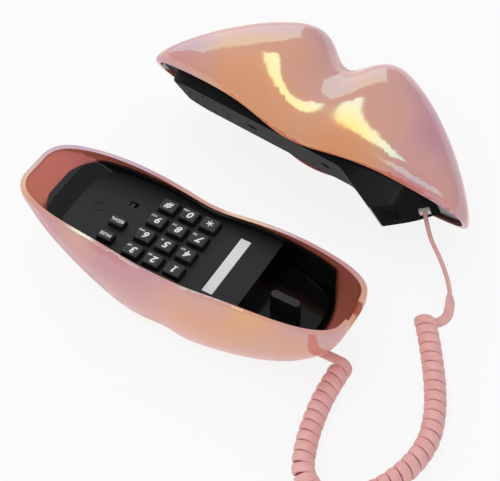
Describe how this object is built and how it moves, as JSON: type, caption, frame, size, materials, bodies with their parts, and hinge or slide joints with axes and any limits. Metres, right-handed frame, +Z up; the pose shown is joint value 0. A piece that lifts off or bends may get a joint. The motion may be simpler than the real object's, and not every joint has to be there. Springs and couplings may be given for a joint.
{
  "type": "lips-shaped desk telephone",
  "caption": "Novelty telephone shaped like a pair of lips: the lower lip is the base with push keys and a sprung hook, the upper lip is the handset on a curly cord",
  "frame": {"origin": "centre of the base's rubber foot, on the table", "axes": "X along the base towards its cord end, Y from the base towards the handset lying behind it, Z up"},
  "size_m": [0.2755, 0.2619, 0.0797],
  "materials": {
    "lip_paint": "moulded plastic with a pearl pink mirror-like coat",
    "black_satin": "satin black moulded plastic",
    "black_gloss": "glossy black moulded plastic",
    "key_black": "satin black keys with printed white figures",
    "mat_rubber": "grey silicone",
    "foot_rubber": "black rubber",
    "board": "resin-bonded paper board",
    "steel": "zinc plated steel",
    "tin": "bright can",
    "inner_black": "black moulded plastic",
    "card": "plain white paper card",
    "clear_plug": "clear moulded plastic",
    "cord_skin": "matt dusty pink flexible plastic"
  },
  "bodies": {
    "base": {"base_shell": "lip_paint", "faceplate": "black_satin", "keypad_mat": "mat_rubber", "main_board": "board", "board_screws": "steel", "hook_spring": "steel", "hook_switch": "inner_black", "selector_switch": "inner_black", "label_card": "card", "ringer": "inner_black", "line_jack": "inner_black", "base_jack": "inner_black", "rubber_foot": "foot_rubber", "base_screws": "steel", "base_plug": "clear_plug", "base_lead": "cord_skin", "coil": "cord_skin"},
    "hook": {"hook_plunger": "black_gloss"},
    "selector": {"selector_lever": "key_black"},
    "handset": {"handset_shell": "lip_paint", "handset_body": "black_gloss", "receiver": "inner_black", "microphone": "tin", "mic_boot": "foot_rubber", "handset_jack": "inner_black", "handset_screws": "steel", "handset_plug": "clear_plug", "handset_lead": "cord_skin"},
    "key_1_body": {"key_1": "key_black"},
    "key_2_body": {"key_2": "key_black"},
    "key_3_body": {"key_3": "key_black"},
    "key_4_body": {"key_4": "key_black"},
    "key_5_body": {"key_5": "key_black"},
    "key_6_body": {"key_6": "key_black"},
    "key_7_body": {"key_7": "key_black"},
    "key_8_body": {"key_8": "key_black"},
    "key_9_body": {"key_9": "key_black"},
    "key_star_body": {"key_star": "key_black"},
    "key_0_body": {"key_0": "key_black"},
    "key_hash_body": {"key_hash": "key_black"},
    "key_redial_body": {"key_redial": "key_black"},
    "key_pause_body": {"key_pause": "key_black"}
  },
  "joints": [
    {"name": "key_1_press", "type": "slide", "parent": "base", "child": "key_1_body", "axis": [0, 0, -1], "range_m": [0, 0.0012], "stiffness_N_per_m": 150, "springref_m": -0.004, "deforming": ["keypad_mat"]},
    {"name": "key_2_press", "type": "slide", "parent": "base", "child": "key_2_body", "axis": [0, 0, -1], "range_m": [0, 0.0012], "stiffness_N_per_m": 150, "springref_m": -0.004, "deforming": ["keypad_mat"]},
    {"name": "key_3_press", "type": "slide", "parent": "base", "child": "key_3_body", "axis": [0, 0, -1], "range_m": [0, 0.0012], "stiffness_N_per_m": 150, "springref_m": -0.004, "deforming": ["keypad_mat"]},
    {"name": "key_4_press", "type": "slide", "parent": "base", "child": "key_4_body", "axis": [0, 0, -1], "range_m": [0, 0.0012], "stiffness_N_per_m": 150, "springref_m": -0.004, "deforming": ["keypad_mat"]},
    {"name": "key_5_press", "type": "slide", "parent": "base", "child": "key_5_body", "axis": [0, 0, -1], "range_m": [0, 0.0012], "stiffness_N_per_m": 150, "springref_m": -0.004, "deforming": ["keypad_mat"]},
    {"name": "key_6_press", "type": "slide", "parent": "base", "child": "key_6_body", "axis": [0, 0, -1], "range_m": [0, 0.0012], "stiffness_N_per_m": 150, "springref_m": -0.004, "deforming": ["keypad_mat"]},
    {"name": "key_7_press", "type": "slide", "parent": "base", "child": "key_7_body", "axis": [0, 0, -1], "range_m": [0, 0.0012], "stiffness_N_per_m": 150, "springref_m": -0.004, "deforming": ["keypad_mat"]},
    {"name": "key_8_press", "type": "slide", "parent": "base", "child": "key_8_body", "axis": [0, 0, -1], "range_m": [0, 0.0012], "stiffness_N_per_m": 150, "springref_m": -0.004, "deforming": ["keypad_mat"]},
    {"name": "key_9_press", "type": "slide", "parent": "base", "child": "key_9_body", "axis": [0, 0, -1], "range_m": [0, 0.0012], "stiffness_N_per_m": 150, "springref_m": -0.004, "deforming": ["keypad_mat"]},
    {"name": "key_star_press", "type": "slide", "parent": "base", "child": "key_star_body", "axis": [0, 0, -1], "range_m": [0, 0.0012], "stiffness_N_per_m": 150, "springref_m": -0.004, "deforming": ["keypad_mat"]},
    {"name": "key_0_press", "type": "slide", "parent": "base", "child": "key_0_body", "axis": [0, 0, -1], "range_m": [0, 0.0012], "stiffness_N_per_m": 150, "springref_m": -0.004, "deforming": ["keypad_mat"]},
    {"name": "key_hash_press", "type": "slide", "parent": "base", "child": "key_hash_body", "axis": [0, 0, -1], "range_m": [0, 0.0012], "stiffness_N_per_m": 150, "springref_m": -0.004, "deforming": ["keypad_mat"]},
    {"name": "key_redial_press", "type": "slide", "parent": "base", "child": "key_redial_body", "axis": [0, 0, -1], "range_m": [0, 0.0012], "stiffness_N_per_m": 150, "springref_m": -0.004, "deforming": ["keypad_mat"]},
    {"name": "key_pause_press", "type": "slide", "parent": "base", "child": "key_pause_body", "axis": [0, 0, -1], "range_m": [0, 0.0012], "stiffness_N_per_m": 150, "springref_m": -0.004, "deforming": ["keypad_mat"]},
    {"name": "hook_press", "type": "slide", "parent": "base", "child": "hook", "axis": [0, 0, -1], "range_m": [0, 0.0046], "stiffness_N_per_m": 150, "springref_m": -0.006, "deforming": ["hook_spring"]},
    {"name": "selector_slide", "type": "slide", "parent": "base", "child": "selector", "axis": [1, 0, 0], "range_m": [0, 0.002]},
    {"name": "handset_lift", "type": "slide", "parent": "base", "child": "handset", "axis": [0, 0, 1], "range_m": [0, 0.12], "deforming": ["coil"]}
  ]
}
